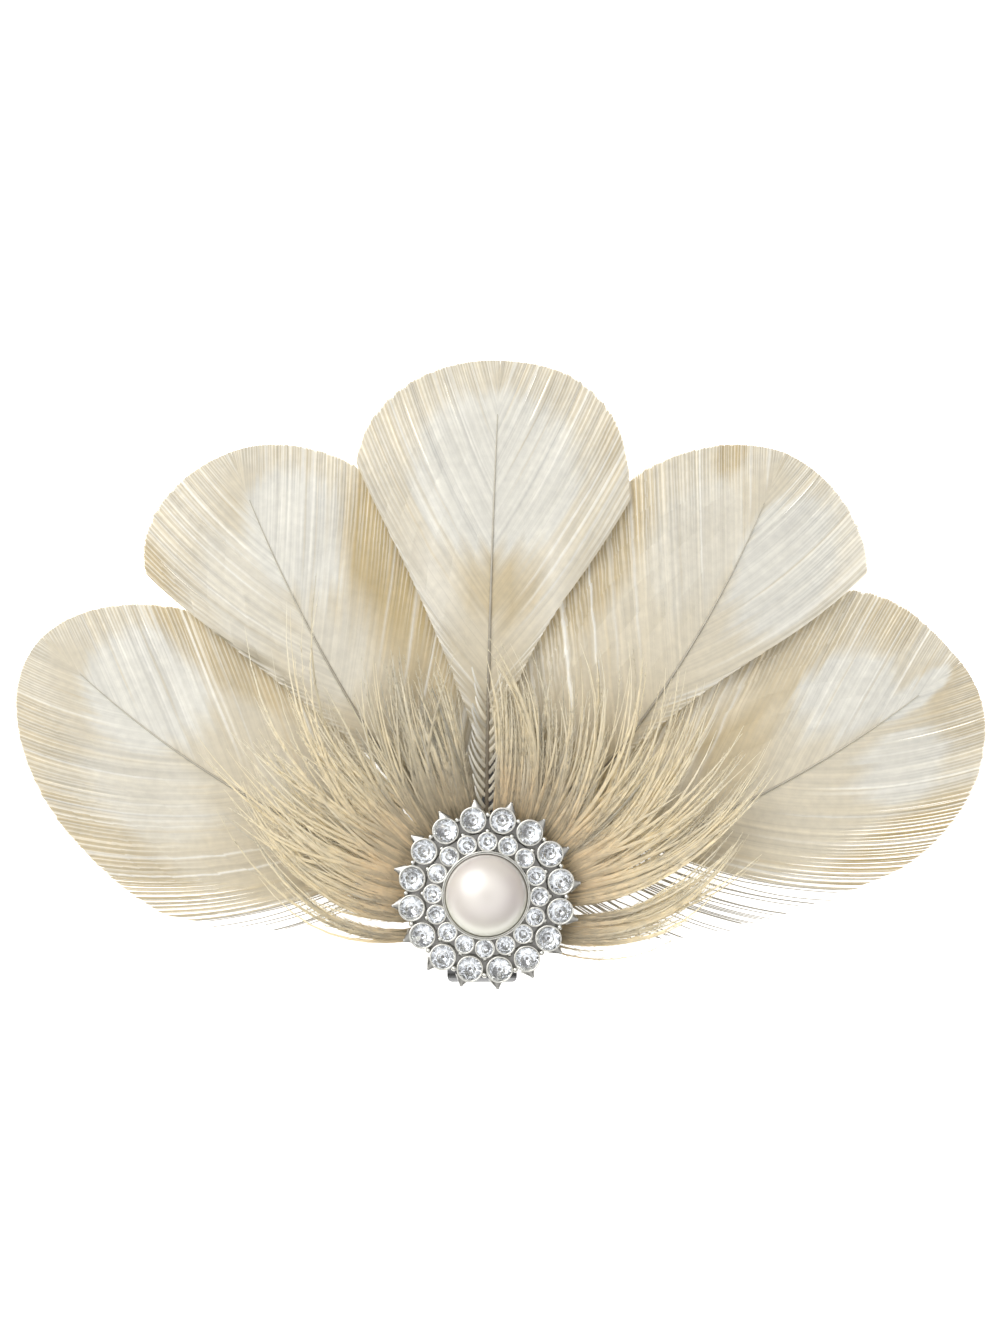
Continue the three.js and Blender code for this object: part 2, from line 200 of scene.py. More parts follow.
SHAFT = {
    "first": 8,
    "last_share": 0.9,
    "base": 0.5,
    "tip": 0.06,
    "taper": 0.75,
    "flatness": 0.8,
    "rings": 48,
    "corners": 8,
    "proud": 0.2,
    "rise": (0.03, 0.2),
    "fade": (0.1, 0.95),
}

# Short barbs low on the centre shaft, which show where the tuft parts.
STUB = {
    "first": 14,
    "last": 37,
    "spacing": 1.8,
    "length": 5.8,
    "length_spread": (0.75, 1.15),
    "slant_deg": 42,
    "slant_spread": 6,
    "straighten": 0.35,
    "half_width": 0.33,
    "taper": 0.7,
    "taper_power": 1.5,
    "flatness": 0.3,
    "rings": 6,
    "proud": 0.2,
    "lift": 1.9,
    "root_across": 0.3,
    "root_spread": 0.4,
    "tone_spread": 0.1,
}

# Loose tuft: its head, and the sheet of locks that leave the head.
TUFT = {
    "layer": 2,
    "head_radius": 13.6,
    "head_bottom": 9.4,
    "head_top": 11.2,
    "head_sides": 64,
    "head_rounding": 0.3,
    "sheet_z": 10.2,
    "lift": 1.4,
    "puff_from": 16.9,
    "inner_radius": 11,
    "first_deg": -34,
    "last_deg": 212.5,
    "shortest": 18,
    "locks": 72,
    "per_lock": 15,
    "lock_place": (0.3, 0.7),
    "lock_deg": 0.9,
    "open_deg": 3,
    "under_deg": 4.5,
    "calm": 0.25,
    "open_from": 17,
    "open_to": 42,
    "curl_from": 15,
    "curl_run": 27,
    "curl_share": 0.8,
    "rings": 11,
}
# How far the locks, and the strands in a lock, stray from each other.
STRAY = {
    "lock_reach": (0.72, 1.12),
    "reach_lean": (4.5, 1.1),
    "lock_bend": 3,
    "bend": 2.5,
    "lock_open": (0.1, 1.4),
    "level": (-0.6, 1),
    "waver": 0.3,
}
# How the strands rise and dip, over runs of the distance from the brooch's axis.
RISE = {"level": 0.9, "level_run": (16, 26), "dip": 0.5, "dip_run": (13, 18), "bow": 0.5, "bow_run": (16, 24)}
STRAND = {
    "half_width": (0.18, 0.5),
    "taper": 0.93,
    "taper_power": 1.6,
    "flatness": 0.25,
    "roll_spread": 0.25,
    "mid_run": (14, 30),
    "tip_from": 0.4,
    "tip_share": (0.3, 1),
    "tone_spread": 0.14,
    "middle_tone": 0.97,
    # The next value darkens strands low in the sheet: painted shade from the strands over them.
    "painted_level_shade": 0.13,
    "lock_tone_spread": 0.05,
    "darkest": 0.3,
}
DOWN = {
    "strands": 620,
    "least_reach": 24,
    "hairs": 38,
    "corners": 3,
    "from": 0.28,
    "length": 3,
    "length_at_root": 1.15,
    "length_spread": (0.5, 1.2),
    "least_turn": 0.15,
    "most_turn": 0.5,
    "lift": 0.25,
    "lighter": 0.35,
    "root": 0.05,
    "tip": 0.018,
}
# Partings of the tuft, and how far on either side its locks stay calm.
PARTING_COLUMNS = ("deg", "half_deg", "calm_deg")
PARTINGS = ((90.5, 8.5, 40), (-12, 5.5, 16), (-24, 2, 6), (190, 2, 6), (203, 5, 14))
# How far the tuft's barbs turn over their curl run, by the angle at which they leave the brooch.
CURL_DEG = (-42, -20, 0, 20, 43, 58, 75, 83, 92, 100, 112, 122, 150, 180, 200, 222)
CURL_TURN = (44, 28, 18, 18, 20, 22, 11, 6, 4, 3, -3, -7, -10, -18, -36, -48)
# How light the locks are, by the same angle.
TONE_DEG = (0, 30, 50, 78, 98, 108, 128, 145, 165, 195)
TONE = (1, 1.15, 1, 1, 0.95, 0.82, 0.84, 1.02, 1.15, 1)
# How far the locks reach, by the angle at which they end.
TUFT_DEG = (-42, -20, -14, 8, 32, 62, 90, 120, 150, 172, 196, 204, 222)
TUFT_REACH = (18, 21, 32, 58, 54, 46, 44, 48, 59, 48, 36, 27, 19)

# Brooch, its heights above the face of its back.
SETTING_Z = 11.5
PLATE = {"radius": 14.5, "thickness": 1.3, "sides": 96, "rounding": 0.12, "rounding_steps": 3, "dark_to": 2}
STEP = {"radius": 11.2, "height": 1.9}
BEZEL = {"inner": 7.53, "outer": 8.1, "height": 4.4, "floor": 1.6}
PEARL = {"radius": 7.45, "dome": 5.5, "girdle": 3.6, "bottom": 1.9, "segments": 72, "rings": 40}
STONES_PER_RING = 16
OUTER = {"radius": 2.15, "ring": 13.8, "first_deg": 100, "girdle": 2.7, "cup_top": 2.85, "cup_foot": 0}
INNER = {"radius": 1.55, "ring": 9.7, "first_deg": 88.6, "girdle": 3.5, "cup_top": 3.6, "cup_foot": 1.2}
# Cut of a stone, in shares of its radius. Facets that face down past foil_below are backed with foil.
CUT = {
    "corners": 16,
    "table": 0.56,
    "crown": 0.34,
    "girdle": 0.1,
    "pavilion": 0.7,
    "star": 0.8,
    "lower": 0.35,
    "merge_deg": 2,
    "foil_below": -0.1,
}
SEAT = {"lean_deg": 5, "spin_deg": 45}
CUP = {
    "wall": 0.28,
    "lip": 0.3,
    "lip_depth": 0.22,
    "clear": 0.35,
    "sides": 28,
    "foot": 0.86,
    "point": 0.12,
    "rounding": 0.09,
}
PETAL = {
    "tip": 17.4,
    "root": 15.4,
    "root_width": 1.6,
    "tip_width": 0.3,
    "tip_ball": 1.12,
    "sides": 16,
    "ball_rings": 10,
    "flatness": 0.45,
    "turn": -3,
    "height": 1.4,
}
CLAW = {
    "ring": 14.6,
    "inner_ring": 11.6,
    "radius": 0.506,
    "dome": 0.414,
    "dome_steps": 3,
    "foot": 0.4,
    "height": 3.1,
    "sides": 12,
    "smooth_deg": 50,
}
# Shading stays sharp past this angle, and a flat end is told by its normal and its height.
SMOOTH_DEG = 40
FLAT = 0.99
LEVEL_GAP = 1e-6

# Finishes and painted shade and light, in linear colour: dull and dark are painted shade on the low parts of
# the brooch, and the pearl's rim colour is painted light from below.
METAL = {
    "bright": (0.68, 0.67, 0.62),
    # The next colour is rougher silver whose darker tone is painted shade at the brooch's rim.
    "dull": (0.44, 0.43, 0.4),
    # The next colour is painted shade for the low hollows of the brooch's back.
    "dark": (0.2, 0.195, 0.185),
    "steel": (0.2, 0.2, 0.2),
    "foil": (0.88, 0.89, 0.9),
}
NACRE = {
    "cream": (0.69, 0.64, 0.57),
    "pink": (0.65, 0.585, 0.555),
    # The rim colour and its tilt and heights are painted light from the table below, on the pearl's lower
    # rim.
    "rim": (0.97, 0.95, 0.8),
    "rim_light_tilt": 0.45,
    "rim_light_from": -0.6,
    "rim_light_to": 2.8,
}
GLASS_TINT = (0.97, 0.98, 1, 1)
TABLE_TINT = (0.93, 0.93, 0.925)
WHITE = (1, 1, 1, 1)
NOISE_RANGE = (0.3, 0.7)

# Colours of barbs and shafts as seen, in sRGB steps.
SHADES = {
    "ivory": (229, 222, 204),
    "eye": (235, 233, 225),
    "straw": (209, 191, 148),
    "light": (250, 248, 241),
    "root": (215, 204, 178),
    "whisker": (196, 191, 181),
    "stub": (234, 226, 206),
    # The next shade is painted shadow for the dark line along a vane's edge.
    "painted_shadow": (158, 145, 112),
    "shaft_base": (120, 110, 94),
    "shaft_tip": (196, 190, 174),
    "tuft_root": (208, 192, 161),
    "tuft_mid": (251, 242, 217),
    "tuft_tip": (251, 247, 234),
}

# Table, light and camera, the table's and the light's sizes in metres.
TABLE_SIZE = 6
SKY = (
    (0.45, (0.12, 0.118, 0.115)),
    (0.93, (1, 1, 1)),
    (0.955, (1, 1, 1)),
    (0.982, (0.25, 0.25, 0.25)),
)
SKY_STRENGTH = 1.55
KEY_BOX = {"at": (-0.5, 0.52, 0.66), "size": 1.05, "power": 7.5}
CAMERA = {"lens": 85, "at": (2.5, 41.5, 586)}

dice = np.random.default_rng(seed=23)


def linear(shade):
    c = np.array(SHADES[shade]) / 255
    return np.where(c < 0.04045, c / 12.92, ((c + 0.055) / 1.055) ** 2.4)


def smoothstep(x, low, high):
    t = np.clip((x - low) / (high - low), 0, 1)
    return t * t * (3 - 2 * t)


def between(a, b, share):
    return a + (b - a) * share


def blend(a, b, share):
    """Colours between two, by an array of shares."""
    return between(a, b, np.asarray(share)[..., None])


def toned(colour, tone, brightest=0.96):
    """Colours made lighter or darker, none of them past the brightest."""
    return colour * np.minimum(tone, brightest / colour.max(axis=-1, keepdims=True))


def unit(vectors, shortest=1e-9):
    return vectors / np.maximum(np.linalg.norm(vectors, axis=-1, keepdims=True), shortest)


def sideways(way):
    """Vectors that lie level, at right angles to others."""
    return np.stack([-way[..., 1], way[..., 0], np.zeros(way.shape[:2])], axis=-1)


# Fan and shafts


def layer_pitch(distance):
    opening = smoothstep(distance, FAN["layer_start"], FAN["layer_start"] + FAN["layer_run"])
    spread = np.maximum(0, distance - FAN["layer_start"]) / FAN["reach"]
    return FAN["layer_step"] * opening + FAN["layer_spread"] * spread


def fan_height(layer, distance):
    return FAN["quill_z"] + layer * layer_pitch(distance) + FAN["tip_rise"] * (distance / FAN["reach"]) ** 2


def vane_side(name, side):
    return dict(zip(VANE_COLUMNS, VANES[name][side]))


def vane_points(name, along, across):
    """Points of the vane's middle surface, left of the shaft where across is plus."""
    feather = FEATHERS[name]
    start = math.radians(feather["start"])
    bend = math.radians(feather["end"] - feather["start"]) / feather["length"]
    heading = start + bend * along
    x = (np.sin(heading) - math.sin(start)) / bend - across * np.sin(heading)
    y = (math.cos(start) - np.cos(heading)) / bend + across * np.cos(heading)
    sag = VANE["camber"] * (across / vane_side(name, "left")["wide"]) ** 2
    wave = np.sin(2 * math.pi / VANE["wave_length"] * (along + VANE["wave_skew"] * across))
    wave = VANE["wave"] * wave * np.minimum(1, np.abs(across) / VANE["wave_grow"])
    z = fan_height(feather["layer"], np.hypot(x, y)) - sag + wave
    return np.stack([x, y, z], axis=-1)


def half_width(side, length, along):
    rising = np.clip((along - side["start"]) / (side["wide_at"] - side["start"]), 0, 1) ** side["flare"]
    to_tip = np.clip((along - side["wide_at"]) / (length - side["wide_at"]), 0, 1)
    closing = (1 - to_tip ** side["dome"]) ** (1 / side["dome"])
    return side["wide"] * rising * closing


# Strands


def strand_frames(centres):
    """Side and up vectors along each strand of an array of strands, rings and coordinates."""
    tangent = np.gradient(centres, axis=1)
    side = unit(sideways(tangent))
    return side, unit(np.cross(tangent, side))


def roll_frames(side, up, angle):
    c = np.cos(angle)[..., None]
    s = np.sin(angle)[..., None]
    return side * c + up * s, up * c - side * s


def strand_arrays(centres, side, up, half_width, half_depth, colours, corners=4):
    """Vertices, quads, caps and colours of closed strands."""
    strands, rings = centres.shape[:2]
    turn = 2 * math.pi * np.arange(corners) / corners
    wide = half_width[..., None, None] * np.cos(turn)[:, None] * side[:, :, None, :]
    deep = half_depth[..., None, None] * np.sin(turn)[:, None] * up[:, :, None, :]
    vertices = (centres[:, :, None, :] + wide + deep).reshape(-1, 3)
    index = np.arange(strands * rings * corners).reshape(strands, rings, corners)
    after = np.roll(index, -1, axis=2)
    quads = np.stack([index[:, :-1], after[:, :-1], after[:, 1:], index[:, 1:]], axis=-1).reshape(-1, 4)
    caps = np.concatenate([index[:, 0, ::-1], index[:, -1, :]])
    tints = np.repeat(colours.reshape(-1, 3), corners, axis=0)
    return vertices, quads, caps, tints


def new_object(name, data):
    obj = bpy.data.objects.new(name, data)
    bpy.context.scene.collection.objects.link(obj)
    return obj


def mesh_object(name, groups, materials, smooth):
    """One object from groups of strands, each with the place of its material in the list."""
    vertices = np.concatenate([g[0][0] for g in groups])
    tints = np.concatenate([g[0][3] for g in groups])
    faces, slots, base = [], [], 0
    for (points, quads, caps, _), slot in groups:
        for part in (quads + base, caps + base):
            faces.extend(part.tolist())
            slots.extend([slot] * len(part))
        base += len(points)
    mesh = bpy.data.meshes.new(name)
    mesh.from_pydata((vertices * MM).tolist(), [], faces)
    mesh.polygons.foreach_set("material_index", slots)
    mesh.polygons.foreach_set("use_smooth", [smooth] * len(faces))
    colour = mesh.color_attributes.new("barb_colour", "FLOAT_COLOR", "POINT")
    colour.data.foreach_set("color", np.column_stack([tints, np.ones(len(tints))]).ravel())
    for material in materials:
        mesh.materials.append(material)
    return new_object(name, mesh)


# Barbs of a vane


def wander(count, run):
    """Random values of unit spread that change slowly from one barb to the next."""
    raw = np.convolve(dice.normal(0, 1, count + run), np.hanning(run + 2), "same")[:count]
    return raw / raw.std()


def uneven(count, spread):
    """Small random values from barb to barb, part of them slow and part of them quick to change."""
    return spread["slow"] * wander(count, spread["run"]) + dice.normal(0, spread["quick"], count)


def clump_pull(roots):
    """For each barb, how far its clump's middle lies along the shaft from its own root."""
    pull = np.zeros(len(roots))
    first = 0
    while first < len(roots):
        last = min(len(roots), first + int(dice.integers(CLUMP["least"], CLUMP["most"])))
        pull[first:last] = roots[first:last].mean() - roots[first:last]
        first = last
    return pull


def slit_push(side, length, roots, share):
    """How far each ring of each barb is pushed aside where the vane is split."""
    push = np.zeros((len(roots), len(share)))
    for spot in dice.beta(*SLIT["place_lean"], SLIT["per_side"]):
        away = roots - (side["start"] + SLIT["clear"] + spot * (length - side["start"] - 2 * SLIT["clear"]))
        opens = dice.uniform(*SLIT["opens"])
        closing = 1 - SLIT["close"] * smoothstep(share, SLIT["close_from"], 1)
        profile = smoothstep(share, opens, opens + SLIT["open_run"]) * closing
        gap = SLIT["half_width"] * dice.uniform(*SLIT["width_spread"])
        push += (np.where(away < 0, -gap, gap) * np.exp(-np.abs(away) / SLIT["run"]))[:, None] * profile
    return push


def barb_paths(side, length):
    """Places along and across the shaft of each barb's rings, and the room between it and the next."""
    last_root = length - BARB["tip_gap"]
    count = int((last_root - side["start"]) / BARB["spacing"])
    roots = np.linspace(side["start"], last_root, count)
    roots += dice.uniform(-BARB["root_spread"], BARB["root_spread"], count) * BARB["spacing"]
    sparse = roots < side["sparse_to"]
    keep = ~sparse | (dice.random(count) < side["sparse_keep"])
    roots, sparse = roots[keep], sparse[keep]
    slant = np.radians(between(BARB["base_deg"], BARB["tip_deg"], roots / length))
    slant *= between(BARB["tip_close"], 1, smoothstep(length - roots, 0, BARB["tip_run"]))
    fanning = -np.gradient(slant, roots)[:, None]
    slant += np.radians(BARB["slant_spread"]) * wander(len(roots), BARB["lift_run"])
    curl = np.radians(BARB["sweep_deg"]) / BARB["sweep_length"]
    curl = curl * (1 + BARB["curl_spread"] * wander(len(roots), BARB["lift_run"]))

    def place_at(run):
        turn = slant[:, None] - curl[:, None] * run
        along = roots[:, None] + (np.sin(slant)[:, None] - np.sin(turn)) / curl[:, None]
        across = (np.cos(turn) - np.cos(slant)[:, None]) / curl[:, None]
        return along, across, turn

    fine = np.linspace(0, BARB["longest"], BARB["length_steps"])
    along, across, _ = place_at(fine)
    outside = across > half_width(side, length, along)
    outside[:, 0] = False
    end = fine[np.argmax(outside, axis=1)]
    end *= 1 - np.abs(dice.normal(0, BARB["end_spread"], len(roots)))
    share = 1 - (1 - np.linspace(0, 1, BARB["rings"])) ** BARB["tip_crowd"]
    run = end[:, None] * share
    along, across, turn = place_at(run)
    comb = (1 - smoothstep(roots, side["comb_to"] - COMB["run"], side["comb_to"] + COMB["run"]))[:, None]
    comb_rise = comb * smoothstep(share, COMB["from"], COMB["to"])
    gather = CLUMP["pull"] * (1 - comb) * smoothstep(share, CLUMP["from"], 1) + COMB["pull"] * comb_rise
    push = gather * clump_pull(roots)[:, None] * np.sin(turn) + slit_push(side, length, roots, share)
    along += push * np.sin(turn)
    across -= push * np.cos(turn)
    room = BARB["spacing"] * (np.sin(turn) + fanning * run) * (1 - COMB["thin"] * comb_rise)
    chosen = end > BARB["shortest"]
    return along[chosen], across[chosen], share, room[chosen], sparse[chosen]


def patched(name, colour, along, across):
    """Colours of a vane with its patches laid over them, ragged from barb to barb."""
    for row in PATCHES[name]:
        patch = dict(zip(PATCH_COLUMNS, row))
        far = np.hypot(
            (along - patch["along"]) / patch["half_along"],
            (across - patch["across"]) / patch["half_across"],
        )
        ragged = far + uneven(len(along), RAGGED)[:, None]
        inside = 1 - smoothstep(ragged, *PATCH_EDGE[patch["tint"]])
        colour = blend(colour, linear(patch["tint"]), inside * patch["strength"])
    return colour


def streaked(colour, share):
    """Colours of a vane with streaks along single barbs."""
    barbs = len(colour)
    for tint, streak in STREAK_TINTS.items():
        place = dice.beta(*STREAK["place_lean"], streak["count"]) * barbs
        near = np.exp(-(((np.arange(barbs)[:, None] - place) / STREAK["barbs"]) ** 2))
        strong = streak["strength"] * dice.uniform(*STREAK["spread"], streak["count"])
        shown = np.clip((near * strong).sum(axis=1), 0, 1)[:, None]
        colour = blend(colour, linear(tint), shown * smoothstep(share, STREAK["from"], STREAK["to"]))
    return colour


def lined(colour, share):
    """Colours of a vane with light and dark lines, barb by barb, near its rim."""
    step = 2 * math.pi / LINE["barbs"] * dice.uniform(*LINE["spread"], len(colour))
    beat = np.cos(np.cumsum(step))[:, None]
    rim = smoothstep(share, LINE["from"], LINE["to"])
    colour = blend(colour, linear("light"), LINE["light"] * np.clip(-beat, 0, 1) * rim)
    return colour * (1 - LINE["dark"] * np.clip(beat, 0, 1) * rim)[..., None]


def vane_colour(name, along, across, share):
    """Colour of each ring of each barb: a ground with a fringe, patches, streaks and lines."""
    barbs = len(along)
    ground = smoothstep(along / FEATHERS[name]["length"], GROUND["from"], GROUND["to"])
    colour = blend(linear("root"), linear("ivory"), ground)
    fringe = FRINGE["strength"] * smoothstep(share, FRINGE["from"], 1)
    fringe = fringe * dice.uniform(*FRINGE["spread"], barbs)[:, None]
    colour = blend(colour, linear("straw"), fringe)
    colour = lined(streaked(patched(name, colour, along, across), share), share)
    return toned(colour, 1 + uneven(barbs, BARB_TONE)[:, None, None])


def vane_barbs(name, which):
    """The barbs of a feather's left or right half vane, each a closed ribbon."""
    side = vane_side(name, which)
    sign = 1 if which == "left" else -1
    along, across, share, room, sparse = barb_paths(side, FEATHERS[name]["length"])
    centres = vane_points(name, along, sign * across)
    centres[..., 2] += BARB["lift"] * wander(len(sparse), BARB["lift_run"])[:, None] * share
    cover = between(COVER["closed"], COVER["edge"], smoothstep(share, COVER["edge_from"], 1))
    thin = COVER["sparse"] * (1 - COVER["sparse_taper"] * share)
    wide = np.where(sparse[:, None], thin, cover * room / 2)
    wide[:, -1] = STRAND_END
    deep = np.minimum(BARB["half_depth"], wide * BARB["depth_share"])
    shingle = np.full(wide.shape, -sign * math.radians(BARB["shingle_deg"]))
    side_way, up = roll_frames(*strand_frames(centres), shingle)
    colour = vane_colour(name, along, sign * across, share)
    colour = np.where(sparse[:, None, None], linear("whisker"), colour)
    return strand_arrays(centres, side_way, up, wide, deep, colour)


def feather_shaft(name):
    last = FEATHERS[name]["length"] * SHAFT["last_share"]
    along = np.linspace(SHAFT["first"], last, SHAFT["rings"])[None, :]
    share = np.linspace(0, 1, SHAFT["rings"])[None, :]
    radius = between(SHAFT["base"], SHAFT["tip"], share ** SHAFT["taper"])
    centres = vane_points(name, along, np.zeros_like(along))
    centres[..., 2] += SHAFT["proud"] * smoothstep(share, *SHAFT["rise"])
    side_way, up = strand_frames(centres)
    colour = blend(linear("shaft_base"), linear("shaft_tip"), smoothstep(share, *SHAFT["fade"]))
    return strand_arrays(centres, side_way, up, radius, radius * SHAFT["flatness"], colour, SHAFT["corners"])


def short_barbs(name):
    """Short broad barbs low on both sides of a shaft, those on the right half a step further up."""
    left = np.arange(STUB["first"], STUB["last"], STUB["spacing"])
    stray = dice.uniform(-1, 1, 2 * len(left))
    roots = np.concatenate([left, left + STUB["spacing"] / 2]) + STUB["root_spread"] * stray
    sign = np.repeat([1, -1], len(left))[:, None]
    share = np.linspace(0, 1, STUB["rings"])[None, :]
    run = STUB["length"] * dice.uniform(*STUB["length_spread"], len(roots))[:, None] * share
    slant = np.radians(STUB["slant_deg"] + STUB["slant_spread"] * stray)[:, None]
    slant = slant * (1 - STUB["straighten"] * share)
    along = roots[:, None] + run * np.cos(slant)
    across = sign * (STUB["root_across"] + run * np.sin(slant))
    centres = vane_points(name, along, across)
    centres[..., 2] += STUB["proud"] + STUB["lift"] * np.sin(math.pi * share / 2)
    taper = 1 - STUB["taper"] * share ** STUB["taper_power"]
    wide = STUB["half_width"] * np.broadcast_to(taper, run.shape)
    side_way, up = strand_frames(centres)
    colour = blend(linear("stub"), linear("light"), np.broadcast_to(share, run.shape))
    colour = toned(colour, dice.normal(1, STUB["tone_spread"], len(roots))[:, None, None])
    return strand_arrays(centres, side_way, up, wide, wide * STUB["flatness"], colour)


# Loose tuft


def partings():
    return [dict(zip(PARTING_COLUMNS, row)) for row in PARTINGS]


def parted(deg):
    """Angles round the brooch, moved out of the partings."""
    for parting in partings():
        away = deg - parting["deg"]
        edge = parting["deg"] + np.where(away < 0, -1, 1) * parting["half_deg"]
        deg = np.where(np.abs(away) < parting["half_deg"], edge, deg)
    return deg


def lock_degrees():
    step = (TUFT["last_deg"] - TUFT["first_deg"]) / TUFT["locks"]
    places = np.arange(TUFT["locks"]) + dice.uniform(*TUFT["lock_place"], TUFT["locks"])
    return parted(TUFT["first_deg"] + step * places)


def lock_calm(lock_deg):
    """The share of its waywardness that each lock keeps, least beside the partings."""
    calm = np.ones(len(lock_deg))
    for parting in partings():
        away = np.abs(lock_deg - parting["deg"])
        calm *= between(TUFT["calm"], 1, smoothstep(away, parting["half_deg"], parting["calm_deg"]))
    return calm


def strand_reach(lock_deg, lock, curl):
    lock_reach = np.interp(lock_deg + TUFT["curl_share"] * curl, TUFT_DEG, TUFT_REACH)
    lock_reach = lock_reach * dice.uniform(*STRAY["lock_reach"], len(lock_deg))
    return np.maximum(lock_reach[lock] * dice.beta(*STRAY["reach_lean"], len(lock)), TUFT["shortest"])


def strand_headings(lock_deg, lock, curl, distance, share):
    """Headings of each strand's rings from the brooch's axis, and each strand's level in the sheet."""
    count = len(lock)
    calm = lock_calm(lock_deg)[lock]
    stray_bend = dice.normal(0, STRAY["lock_bend"], len(lock_deg))[lock]
    stray_bend = stray_bend + dice.normal(0, STRAY["bend"], count)
    bend = (curl[lock] + calm * stray_bend)[:, None]
    opening = TUFT["open_deg"] * smoothstep(distance, TUFT["open_from"], TUFT["open_to"])
    spread = opening * (calm * dice.uniform(*STRAY["lock_open"], len(lock_deg))[lock])[:, None]
    out = np.maximum(0, distance - TUFT["curl_from"]) / TUFT["curl_run"]
    level = dice.uniform(*STRAY["level"], count)
    place = np.where(level < 0, TUFT["under_deg"], TUFT["lock_deg"]) * dice.normal(0, 1, count)
    leave = parted(lock_deg[lock] + place)[:, None]
    heading = np.radians(leave + dice.normal(0, 1, count)[:, None] * spread + bend * out)
    heading += dice.normal(0, STRAY["waver"], count)[:, None] * np.sin(2 * math.pi * share) / distance
    return heading, level[:, None]


def strand_heights(level, distance, share):
    puff = TUFT["lift"] * smoothstep(distance, TUFT["puff_from"], FAN["reach"] / 2)
    z = TUFT["sheet_z"] + fan_height(TUFT["layer"], distance) - FAN["quill_z"] + puff
    z += RISE["level"] * level * smoothstep(distance, *RISE["level_run"])
    z -= RISE["dip"] * (1 - smoothstep(distance, *RISE["dip_run"]))
    bow = RISE["bow"] * np.sin(math.pi * share) * dice.random(len(level))[:, None]
    return z + bow * smoothstep(distance, *RISE["bow_run"])


def strand_colours(lock_deg, lock, level, distance, share):
    count = len(lock)
    colour = blend(linear("tuft_root"), linear("tuft_mid"), smoothstep(distance, *STRAND["mid_run"]))
    tipped = smoothstep(share, STRAND["tip_from"], 1) * dice.uniform(*STRAND["tip_share"], count)[:, None]
    colour = blend(colour, linear("tuft_tip"), tipped)
    tone = dice.normal(1, STRAND["tone_spread"], count)
    # Painted shade: strands lower in the sheet are darker, shaded by the strands over them.
    tone = tone * (STRAND["middle_tone"] + STRAND["painted_level_shade"] * level[:, 0])
    lock_tone = np.interp(lock_deg, TONE_DEG, TONE)
    lock_tone = lock_tone * dice.normal(1, STRAND["lock_tone_spread"], len(lock_deg))
    return toned(colour, np.maximum(tone * lock_tone[lock], STRAND["darkest"])[:, None, None])


def tuft_strands():
    """Curved barbs in locks that leave the head under the brooch, open and turn up as they run out."""
    lock_deg = lock_degrees()
    lock = np.repeat(np.arange(TUFT["locks"]), TUFT["per_lock"])
    count = len(lock)
    curl = np.interp(lock_deg, CURL_DEG, CURL_TURN)
    share = np.linspace(0, 1, TUFT["rings"])[None, :]
    reach = strand_reach(lock_deg, lock, curl)
    distance = between(TUFT["inner_radius"], reach[:, None], share)
    heading, level = strand_headings(lock_deg, lock, curl, distance, share)
    z = strand_heights(level, distance, share)
    centres = np.stack([distance * np.cos(heading), distance * np.sin(heading), z], axis=-1)
    taper = 1 - STRAND["taper"] * share ** STRAND["taper_power"]
    wide = dice.uniform(*STRAND["half_width"], count)[:, None] * taper
    wide[:, -1] = STRAND_END
    roll = np.repeat(dice.normal(0, STRAND["roll_spread"], count)[:, None], TUFT["rings"], 1)
    side_way, up = roll_frames(*strand_frames(centres), roll)
    colour = strand_colours(lock_deg, lock, level, distance, share)
    long = np.flatnonzero(reach > DOWN["least_reach"])
    chosen = dice.choice(long, min(len(long), DOWN["strands"]), replace=False)
    down = tuft_down(centres[chosen], colour[chosen])
    return strand_arrays(centres, side_way, up, wide, wide * STRAND["flatness"], colour), down


def tuft_down(centres, colour):
    """Short side hairs along strands, shorter towards the strands' tips."""
    strands, rings = centres.shape[:2]
    share = dice.uniform(DOWN["from"], 1, (strands, DOWN["hairs"]))
    spots = share * (rings - 1)
    low = np.minimum(np.floor(spots).astype(int), rings - 2)
    part = (spots - low)[..., None]
    row = np.arange(strands)[:, None]
    root = between(centres[row, low], centres[row, low + 1], part)
    shade = between(colour[row, low], colour[row, low + 1], part)
    way = unit(centres[row, low + 1] - centres[row, low])
    sign = dice.choice([-1.0, 1.0], share.shape)[..., None]
    reach = DOWN["length"] * (DOWN["length_at_root"] - share**2)
    reach = (reach * dice.uniform(*DOWN["length_spread"], share.shape))[..., None]
    turn = dice.uniform(DOWN["least_turn"], DOWN["most_turn"], share.shape)[..., None]
    tip = root + (way * np.cos(turn) + sign * sideways(way) * np.sin(turn)) * reach
    tip[..., 2] += dice.normal(0, DOWN["lift"], share.shape)
    hairs = np.stack([root, tip], axis=2).reshape(-1, 2, 3)
    shades = np.repeat(shade.reshape(-1, 1, 3), 2, axis=1)
    shades = between(shades, linear("tuft_tip"), DOWN["lighter"])
    side_way, up = strand_frames(hairs)
    wide = np.tile(np.array([DOWN["root"], DOWN["tip"]]), (len(hairs), 1))
    return strand_arrays(hairs, side_way, up, wide, wide, shades, DOWN["corners"])


# Modelling helpers


def deselect():
    if bpy.context.object and bpy.context.object.mode != "OBJECT":
        bpy.ops.object.mode_set(mode="OBJECT")
    bpy.ops.object.select_all(action="DESELECT")


def pick(*objs):
    deselect()
    for obj in objs:
        obj.select_set(True)
    bpy.context.view_layer.objects.active = objs[0]


def named(name):
    obj = bpy.context.object
    obj.name = name
    obj.data.name = name
    return obj


def settle(obj):
    """Applies the object's place, turn and size to its mesh."""
    pick(obj)
    bpy.ops.object.transform_apply(location=True, rotation=True, scale=True)


def join(name, objs):
    pick(*objs)
    bpy.ops.object.join()
    return named(name)


